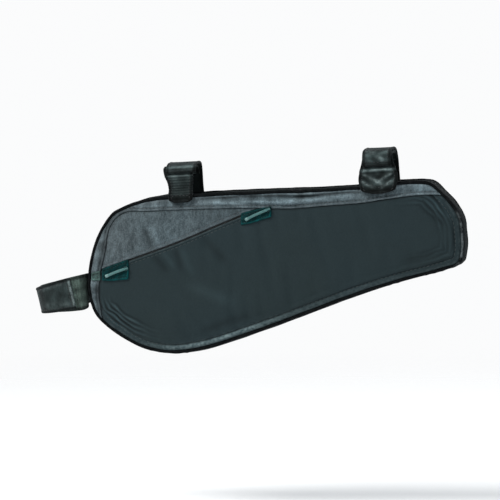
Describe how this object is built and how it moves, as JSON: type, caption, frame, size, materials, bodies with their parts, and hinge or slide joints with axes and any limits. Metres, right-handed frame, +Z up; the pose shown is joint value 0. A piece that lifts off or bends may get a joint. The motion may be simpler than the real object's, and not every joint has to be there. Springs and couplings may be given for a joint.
{
  "type": "bicycle frame bag",
  "caption": "Slim bag that hangs under a bicycle top tube, with a slanted zip, a grey upper corner and cloth straps for the top tube and the seat tube.",
  "frame": {"origin": "on the axis of the bicycle's top tube, midway between the two straps that go over it", "axes": "+X towards the front of the bicycle, along the bag's length; +Y towards the bag's far side, across its width; +Z up"},
  "size_m": [0.3394, 0.0514, 0.1625],
  "materials": {
    "charcoal_cloth": "matt woven, foam backed",
    "heather_cloth": "matt two-tone woven",
    "black_piping": "matt woven tape over cord",
    "zip": "satin coil and coated tape",
    "teal_cloth": "matt woven",
    "turquoise_cord": "braided",
    "strap_cloth": "brushed hook-and-loop tape"
  },
  "bodies": {
    "root": {"panel_main_near": "charcoal_cloth", "panel_far": "charcoal_cloth", "gusset": "charcoal_cloth", "panel_upper_near": "heather_cloth", "band_near": "heather_cloth", "piping_near": "black_piping", "piping_far": "black_piping", "zip": "zip", "zip_garage_rear": "teal_cloth", "zip_garage_front": "teal_cloth", "zip_pull_rear": "turquoise_cord", "zip_pull_front": "turquoise_cord", "top_tab_rear": "strap_cloth", "top_strap_rear": "strap_cloth", "top_tab_front": "strap_cloth", "top_strap_front": "strap_cloth", "seat_tab": "strap_cloth", "seat_strap": "strap_cloth"}
  },
  "joints": []
}
